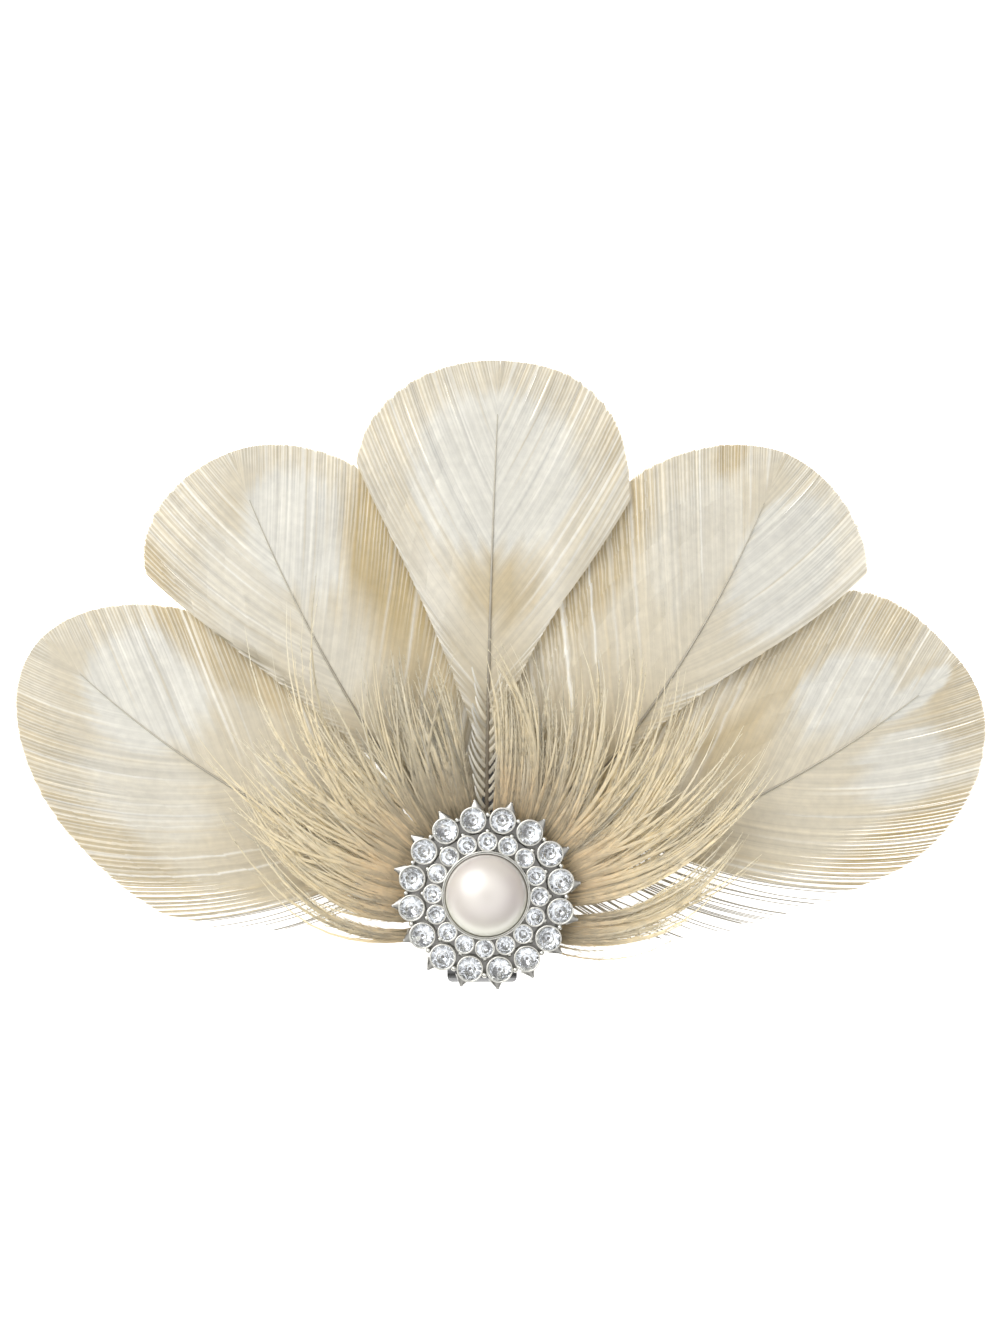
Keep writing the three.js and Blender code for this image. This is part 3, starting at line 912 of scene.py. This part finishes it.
def edit_faces(obj, chosen):
    """Enters edit mode with the faces that the test picks selected."""
    pick(obj)
    bpy.ops.object.mode_set(mode="EDIT")
    bpy.ops.mesh.select_mode(type="FACE")
    bpy.ops.mesh.select_all(action="DESELECT")
    bpy.ops.object.mode_set(mode="OBJECT")
    for face in obj.data.polygons:
        face.select = bool(chosen(face))
    bpy.ops.object.mode_set(mode="EDIT")


def edit_all(obj):
    pick(obj)
    bpy.ops.object.mode_set(mode="EDIT")
    bpy.ops.mesh.select_all(action="SELECT")


def leave_edit():
    bpy.ops.object.mode_set(mode="OBJECT")


def raise_face(height):
    bpy.ops.mesh.extrude_region_move(TRANSFORM_OT_translate={"value": (0, 0, height * MM)})


def inset_face(width):
    bpy.ops.mesh.inset(thickness=width * MM, depth=0)


def shade_smooth(obj, degrees=SMOOTH_DEG):
    pick(obj)
    bpy.ops.object.shade_smooth_by_angle(angle=math.radians(degrees))


def round_edges(obj, width, segments=2, degrees=35):
    pick(obj)
    bevel = obj.modifiers.new("rounded edges", "BEVEL")
    bevel.width = width * MM
    bevel.segments = segments
    bevel.limit_method = "ANGLE"
    bevel.angle_limit = math.radians(degrees)
    bpy.ops.object.modifier_apply(modifier=bevel.name)
    shade_smooth(obj, degrees)


def cylinder(name, radius, bottom, top, sides):
    deselect()
    bpy.ops.mesh.primitive_cylinder_add(
        vertices=sides,
        radius=radius * MM,
        depth=(top - bottom) * MM,
        location=(0, 0, (top + bottom) / 2 * MM),
    )
    obj = named(name)
    settle(obj)
    return obj


def end_face(obj, way=1):
    """A test for the flat face at the top of a piece, or at its bottom where way is -1."""
    last = max(way * v.co.z for v in obj.data.vertices)
    return lambda face: way * face.normal.z > FLAT and abs(way * face.center.z - last) < LEVEL_GAP


def copy_round(source, name, ring, degrees, height=0, lean=(0, 0), spin=0):
    """Copies a piece with its own mesh, moved out along a ring and turned with it."""
    obj = source.copy()
    obj.data = source.data.copy()
    obj.name = name
    bpy.context.scene.collection.objects.link(obj)
    turn = math.radians(degrees)
    obj.rotation_euler = (*lean, turn + spin)
    obj.location = (ring * MM * math.cos(turn), ring * MM * math.sin(turn), height * MM)
    settle(obj)
    return obj


# Brooch


def setting_body():
    """The back of the brooch with its step and the pearl's bezel."""
    top = SETTING_Z + PLATE["thickness"]
    body = cylinder("setting_body", PLATE["radius"], SETTING_Z, top, PLATE["sides"])
    edit_faces(body, end_face(body))
    inset_face(PLATE["radius"] - STEP["radius"])
    raise_face(STEP["height"] - PLATE["thickness"])
    inset_face(STEP["radius"] - BEZEL["outer"])
    raise_face(BEZEL["height"] - STEP["height"])
    inset_face(BEZEL["outer"] - BEZEL["inner"])
    raise_face(BEZEL["floor"] - BEZEL["height"])
    leave_edit()
    round_edges(body, PLATE["rounding"], PLATE["rounding_steps"])
    body.data.materials.append(silver)
    body.data.materials.append(shaded_silver)
    # Faces low on the back get the dark silver: painted shade in the hollows between the cups.
    for face in body.data.polygons:
        face.material_index = 1 if face.center.z < (SETTING_Z + PLATE["dark_to"]) * MM else 0
    return body


def stone_cup(stone):
    """A cup on the axis: tapering foot, rounded lip and a hollow that the stone's point sits in."""
    foot, top = SETTING_Z + stone["cup_foot"], SETTING_Z + stone["cup_top"]
    cup = cylinder("stone_cup", stone["radius"] + CUP["wall"], foot, top, CUP["sides"])
    edit_faces(cup, end_face(cup, -1))
    bpy.ops.transform.resize(value=(CUP["foot"], CUP["foot"], 1))
    leave_edit()
    edit_faces(cup, end_face(cup))
    inset_face(CUP["lip"])
    raise_face(-CUP["lip_depth"])
    raise_face(-(CUT["pavilion"] * stone["radius"] + CUP["clear"]))
    bpy.ops.transform.resize(value=(CUP["point"], CUP["point"], 1))
    leave_edit()
    round_edges(cup, CUP["rounding"])
    cup.data.materials.append(silver)
    return cup


def petal():
    """A pointed petal on the X axis with a rounded tip."""
    length = PETAL["tip"] - PETAL["root"] - PETAL["tip_width"]
    deselect()
    bpy.ops.mesh.primitive_cone_add(
        vertices=PETAL["sides"],
        radius1=PETAL["root_width"] * MM,
        radius2=PETAL["tip_width"] * MM,
        depth=length * MM,
        rotation=(0, math.pi / 2, 0),
        location=((PETAL["root"] + length / 2) * MM, 0, 0),
    )
    leaf = named("petal_leaf")
    settle(leaf)
    deselect()
    bpy.ops.mesh.primitive_uv_sphere_add(
        segments=PETAL["sides"],
        ring_count=PETAL["ball_rings"],
        radius=PETAL["tip_width"] * PETAL["tip_ball"] * MM,
        location=((PETAL["root"] + length) * MM, 0, 0),
    )
    ball = named("petal_ball")
    settle(ball)
    made = join("petal", [leaf, ball])
    made.scale = (1, 1, PETAL["flatness"])
    settle(made)
    made.location = (0, 0, (SETTING_Z + PETAL["height"]) * MM)
    settle(made)
    shade_smooth(made)
    # The petals' darker silver is painted shade at the brooch's rim.
    made.data.materials.append(dull_shaded_silver)
    return made


def claw():
    """A prong on the axis with a domed head."""
    foot, top = SETTING_Z + CLAW["foot"], SETTING_Z + CLAW["height"]
    post = cylinder("claw", CLAW["radius"], foot, top, CLAW["sides"])
    edit_faces(post, end_face(post))
    bpy.ops.mesh.bevel(offset=CLAW["dome"] * MM, segments=CLAW["dome_steps"], affect="EDGES")
    leave_edit()
    shade_smooth(post, CLAW["smooth_deg"])
    post.data.materials.append(silver)
    return post


def ring_degrees(stone):
    return [stone["first_deg"] + i * 360 / STONES_PER_RING for i in range(STONES_PER_RING)]


def brooch_setting():
    pieces = [setting_body()]
    half_step = 180 / STONES_PER_RING
    for stone in (OUTER, INNER):
        cup = stone_cup(stone)
        pieces += [copy_round(cup, "cup", stone["ring"], deg) for deg in ring_degrees(stone)]
        bpy.data.objects.remove(cup)
    leaf, post = petal(), claw()
    for deg in ring_degrees(OUTER):
        pieces.append(copy_round(leaf, "petal_copy", 0, deg + PETAL["turn"]))
        pieces.append(copy_round(post, "claw_copy", CLAW["ring"], deg + half_step))
        pieces.append(copy_round(post, "claw_inner", CLAW["inner_ring"], deg + half_step))
    bpy.data.objects.remove(leaf)
    bpy.data.objects.remove(post)
    return join("silver_setting", pieces)


def cut_stone(radius):
    """A round brilliant about its girdle: table, stars, kites, girdle facets and a pointed pavilion."""
    half = CUT["girdle"] / 2
    step = 2 * math.pi / CUT["corners"]
    table_z = half + CUT["crown"]
    slope = CUT["crown"] / (1 - CUT["table"])
    star_z = half + (1 - CUT["star"] * math.cos(step)) * slope
    lower_z = -half - CUT["pavilion"] * (1 - CUT["lower"] * math.cos(step))
    points = [(0, 0, -half - CUT["pavilion"])]
    for k in range(CUT["corners"]):
        c, s = math.cos(k * step), math.sin(k * step)
        points += [(c, s, half), (c, s, -half)]
        if k % 2 == 0:
            points.append((CUT["table"] * c, CUT["table"] * s, table_z))
        else:
            points.append((CUT["star"] * c, CUT["star"] * s, star_z))
            points.append((CUT["lower"] * c, CUT["lower"] * s, lower_z))
    mesh = bpy.data.meshes.new("cut_stone")
    mesh.from_pydata(points, [], [])
    stone = new_object("cut_stone", mesh)
    edit_all(stone)
    bpy.ops.mesh.convex_hull(join_triangles=True, face_threshold=math.radians(CUT["merge_deg"]))
    bpy.ops.mesh.normals_make_consistent(inside=False)
    leave_edit()
    stone.scale = (radius * MM, radius * MM, radius * MM)
    settle(stone)
    stone.data.materials.append(glass)
    stone.data.materials.append(foil)
    for face in stone.data.polygons:
        face.material_index = 1 if face.normal.z < CUT["foil_below"] else 0
    return stone


def pearl_dome():
    deselect()
    bpy.ops.mesh.primitive_uv_sphere_add(
        segments=PEARL["segments"],
        ring_count=PEARL["rings"],
        radius=PEARL["radius"] * MM,
    )
    dome = named("half_pearl")
    dome.scale = (1, 1, PEARL["dome"] / PEARL["radius"])
    dome.location = (0, 0, (SETTING_Z + PEARL["girdle"]) * MM)
    settle(dome)
    edit_all(dome)
    bpy.ops.mesh.bisect(
        plane_co=(0, 0, (SETTING_Z + PEARL["bottom"]) * MM),
        plane_no=(0, 0, 1),
        use_fill=True,
        clear_inner=True,
    )
    leave_edit()
    shade_smooth(dome)
    dome.data.materials.append(nacre)
    return dome


# Materials


def new_material(name):
    made = bpy.data.materials.new(name)
    made.use_nodes = True
    tree = made.node_tree
    shader = next(n for n in tree.nodes if n.type == "BSDF_PRINCIPLED")
    return made, tree, shader


def set_inputs(node, values):
    for name, value in values.items():
        node.inputs[name].default_value = value


def add_node(tree, kind, **values):
    node = tree.nodes.new(kind)
    for key, value in values.items():
        setattr(node, key, value)
    return node


def noise_of(tree, scale, detail, stretch=(1, 1, 1)):
    """Noise in the piece's own coordinates, scale in cells per metre."""
    where = add_node(tree, "ShaderNodeTexCoord")
    size = add_node(tree, "ShaderNodeMapping")
    set_inputs(size, {"Scale": stretch})
    noise = add_node(tree, "ShaderNodeTexNoise")
    set_inputs(noise, {"Scale": scale, "Detail": detail})
    tree.links.new(where.outputs["Object"], size.inputs["Vector"])
    tree.links.new(size.outputs["Vector"], noise.inputs["Vector"])
    return noise.outputs["Fac"]


def ranged(tree, noise, low, high):
    """A noise stretched to run from low to high."""
    node = add_node(tree, "ShaderNodeMapRange")
    set_inputs(node, {"From Min": NOISE_RANGE[0], "From Max": NOISE_RANGE[1], "To Min": low, "To Max": high})
    tree.links.new(noise, node.inputs["Value"])
    return node.outputs["Result"]


def times(tree, colour, amount):
    mix = add_node(tree, "ShaderNodeVectorMath", operation="SCALE")
    tree.links.new(colour, mix.inputs[0])
    tree.links.new(amount, mix.inputs["Scale"])
    return mix.outputs["Vector"]


def mottled(tree, shader, colour, amount):
    """Gives the shader a colour that an amount makes lighter and darker."""
    ground = add_node(tree, "ShaderNodeRGB")
    ground.outputs[0].default_value = (*colour, 1)
    tree.links.new(times(tree, ground.outputs[0], amount), shader.inputs["Base Color"])


def bumped(tree, shader, value, strength, depth):
    bump = add_node(tree, "ShaderNodeBump")
    set_inputs(bump, {"Strength": strength, "Distance": depth * MM})
    tree.links.new(value, bump.inputs["Height"])
    tree.links.new(bump.outputs["Normal"], shader.inputs["Normal"])


def barb_material(name, through, roughness, spread):
    """Coloured by the barb_colour attribute, mottled, and letting some light through."""
    made, tree, shader = new_material(name)
    colour = add_node(tree, "ShaderNodeAttribute", attribute_name="barb_colour")
    mottle = ranged(tree, noise_of(tree, scale=700, detail=3), 1 - spread, 1 + spread)
    tinted = times(tree, colour.outputs["Color"], mottle)
    tree.links.new(tinted, shader.inputs["Base Color"])
    set_inputs(shader, {"Roughness": roughness, "Specular IOR Level": 0.3, "Sheen Weight": 0.12})
    bumped(tree, shader, noise_of(tree, scale=5200, detail=2), strength=0.25, depth=0.03)
    thin = add_node(tree, "ShaderNodeBsdfTranslucent")
    tree.links.new(tinted, thin.inputs["Color"])
    mix = add_node(tree, "ShaderNodeMixShader")
    set_inputs(mix, {"Fac": through})
    tree.links.new(shader.outputs["BSDF"], mix.inputs[1])
    tree.links.new(thin.outputs["BSDF"], mix.inputs[2])
    out = next(n for n in tree.nodes if n.type == "OUTPUT_MATERIAL")
    tree.links.new(mix.outputs["Shader"], out.inputs["Surface"])
    return made


def metal_material(name, colour, roughness, scale, stretch=(1, 1, 1), strength=0.1, depth=0.02):
    """Metal with a fine grain that changes its roughness between two values."""
    made, tree, shader = new_material(name)
    set_inputs(shader, {"Base Color": (*colour, 1), "Metallic": 1})
    grain = noise_of(tree, scale, detail=4, stretch=stretch)
    tree.links.new(ranged(tree, grain, *roughness), shader.inputs["Roughness"])
    bumped(tree, shader, grain, strength, depth)
    return made


def glass_material():
    made, tree, shader = new_material("cut_glass")
    set_inputs(shader, {"Base Color": GLASS_TINT, "Transmission Weight": 1, "IOR": 1.56})
    wear = ranged(tree, noise_of(tree, scale=900, detail=2), low=0, high=0.02)
    tree.links.new(wear, shader.inputs["Roughness"])
    return made


def colour_mix(tree, share):
    """A mix of two colours by a share, given as its two inputs and its output."""
    mix = add_node(tree, "ShaderNodeMix", data_type="RGBA")
    tree.links.new(share, mix.inputs["Factor"])
    first, second = [i for i in mix.inputs if i.type == "RGBA"]
    return first, second, next(o for o in mix.outputs if o.type == "RGBA")


def pearl_material():
    """Cream and pink clouds under a clear coat, with painted light from below that makes it lighter towards
    the lower rim.
    """
    made, tree, shader = new_material("nacre")
    cloud = colour_mix(tree, ranged(tree, noise_of(tree, scale=130, detail=2), low=0, high=1))
    cloud[0].default_value = (*NACRE["cream"], 1)
    cloud[1].default_value = (*NACRE["pink"], 1)
    # Painted light: the colour turns to the light rim colour low on the pearl, and more so on its -Y side.
    where = add_node(tree, "ShaderNodeTexCoord")
    height = add_node(tree, "ShaderNodeVectorMath", operation="DOT_PRODUCT")
    height.inputs[1].default_value = (0, NACRE["rim_light_tilt"], 1)
    tree.links.new(where.outputs["Object"], height.inputs[0])
    rise = add_node(tree, "ShaderNodeMapRange", interpolation_type="SMOOTHSTEP")
    girdle = SETTING_Z + PEARL["girdle"]
    low, high = (girdle + NACRE["rim_light_from"]) * MM, (girdle + NACRE["rim_light_to"]) * MM
    set_inputs(rise, {"From Min": low, "From Max": high})
    tree.links.new(height.outputs["Value"], rise.inputs["Value"])
    body = colour_mix(tree, rise.outputs["Result"])
    body[0].default_value = (*NACRE["rim"], 1)
    tree.links.new(cloud[2], body[1])
    tree.links.new(body[2], shader.inputs["Base Color"])
    set_inputs(shader, {"Roughness": 0.45, "Specular IOR Level": 0.7})
    set_inputs(shader, {"Coat Weight": 1, "Coat Roughness": 0.34, "Coat IOR": 2.2})
    bumped(tree, shader, noise_of(tree, scale=350, detail=3), strength=0.05, depth=0.02)
    return made


def felt_material():
    made, tree, shader = new_material("straw_felt")
    mottle = ranged(tree, noise_of(tree, scale=900, detail=4), low=0.75, high=1.1)
    mottled(tree, shader, linear("tuft_mid"), mottle)
    set_inputs(shader, {"Roughness": 0.9})
    bumped(tree, shader, noise_of(tree, scale=2500, detail=3), strength=0.5, depth=0.1)
    return made


def table_material():
    made, tree, shader = new_material("table_top")
    mottle = ranged(tree, noise_of(tree, scale=30, detail=2), low=0.985, high=1.015)
    mottled(tree, shader, TABLE_TINT, mottle)
    set_inputs(shader, {"Roughness": 0.75, "Specular IOR Level": 0.2})
    set_inputs(shader, {"Emission Color": WHITE, "Emission Strength": 0.85})
    return made


# Table, light and camera


def table_top():
    deselect()
    bpy.ops.mesh.primitive_plane_add(size=TABLE_SIZE)
    table = named("table_top")
    table.data.materials.append(table_material())
    return table


def studio_sky():
    """A sky that is dark near the horizon, white high up and dimmer straight above."""
    world = bpy.data.worlds.new("studio")
    world.use_nodes = True
    tree = world.node_tree
    where = add_node(tree, "ShaderNodeTexCoord")
    split = add_node(tree, "ShaderNodeSeparateXYZ")
    ramp = add_node(tree, "ShaderNodeValToRGB")
    stops = ramp.color_ramp.elements
    for i, (position, colour) in enumerate(SKY):
        stop = stops[i] if i < len(stops) else stops.new(position)
        stop.position = position
        stop.color = (*colour, 1)
    tree.links.new(where.outputs["Generated"], split.inputs["Vector"])
    tree.links.new(split.outputs["Z"], ramp.inputs["Fac"])
    ground = next(n for n in tree.nodes if n.type == "BACKGROUND")
    tree.links.new(ramp.outputs["Color"], ground.inputs["Color"])
    set_inputs(ground, {"Strength": SKY_STRENGTH})
    return world


def soft_box(name, at, size, power):
    """A round lamp that faces the brooch."""
    lamp = bpy.data.lights.new(name, "AREA")
    lamp.shape = "DISK"
    lamp.size = size
    lamp.energy = power
    obj = new_object(name, lamp)
    obj.location = at
    aim = -obj.location
    obj.rotation_mode = "QUATERNION"
    obj.rotation_quaternion = aim.to_track_quat("-Z", "Y")


def camera_above():
    lens = bpy.data.cameras.new("camera")
    lens.lens = CAMERA["lens"]
    camera = new_object("camera", lens)
    camera.location = [v * MM for v in CAMERA["at"]]
    return camera


# Build

vane_look = barb_material("feather_barb", through=0.35, roughness=0.6, spread=0.04)
tuft_look = barb_material("loose_barb", through=0.55, roughness=0.7, spread=0.06)
shaft_look = barb_material("feather_shaft", through=0.05, roughness=0.45, spread=0.08)
silver = metal_material("polished_silver", METAL["bright"], roughness=(0.12, 0.28), scale=900)
# Rougher silver, darker as painted shade at the brooch's rim.
dull_shaded_silver = metal_material("dull_shaded_silver", METAL["dull"], roughness=(0.2, 0.4), scale=900)
# Painted shade: the darker silver of the low hollows between the cups.
shaded_silver = metal_material("painted_shade_silver", METAL["dark"], roughness=(0.2, 0.4), scale=900)
steel = metal_material(
    "clip_steel",
    METAL["steel"],
    roughness=(0.18, 0.34),
    scale=700,
    stretch=(1, 0.06, 1),
    strength=0.15,
)
foil = metal_material(
    "stone_foil",
    METAL["foil"],
    roughness=(0.01, 0.05),
    scale=1500,
    strength=0.6,
    depth=0.08,
)
glass = glass_material()
nacre = pearl_material()
felt = felt_material()


def place(obj, slot, *nodes):
    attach(obj, "root")
    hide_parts(*nodes)


for name in FEATHERS:
    groups = [(vane_barbs(name, "left"), 0), (vane_barbs(name, "right"), 0), (feather_shaft(name), 1)]
    if name == "feather_center":
        groups.append((short_barbs(name), 0))
    place(mesh_object(name + "_plume", groups, [vane_look, shaft_look], False), "feather_vane", name)

strands, down = tuft_strands()
place(mesh_object("loose_tuft", [(strands, 0)], [tuft_look], False), "loose_barbs", "barb_tuft")
place(mesh_object("tuft_down", [(down, 0)], [tuft_look], True), "loose_barbs", "barb_tuft")
head = cylinder("tuft_head", TUFT["head_radius"], TUFT["head_bottom"], TUFT["head_top"], TUFT["head_sides"])
round_edges(head, TUFT["head_rounding"])
head.data.materials.append(felt)
place(head, "loose_barbs", "barb_tuft")

place(brooch_setting(), "silver_setting", "brooch_setting")

for label, stone in (("outer_stone", OUTER), ("inner_stone", INNER)):
    master = cut_stone(stone["radius"])
    girdle = SETTING_Z + stone["girdle"]
    for i, deg in enumerate(ring_degrees(stone), 1):
        lean = np.radians(dice.normal(0, SEAT["lean_deg"], 2))
        spin = math.radians(dice.uniform(0, SEAT["spin_deg"]))
        gem = copy_round(master, f"{label}_cut_{i:02d}", stone["ring"], deg, girdle, lean, spin)
        place(gem, "cut_stone", f"{label}_{i:02d}")
    bpy.data.objects.remove(master)

place(pearl_dome(), "pearl", "pearl")

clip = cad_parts["hair_clip"]
clip.data.materials.clear()
clip.data.materials.append(steel)

table_top()
bpy.context.scene.world = studio_sky()
soft_box("key box", **KEY_BOX)
bpy.context.scene.camera = camera_above()
bpy.context.scene.view_settings.view_transform = "Standard"
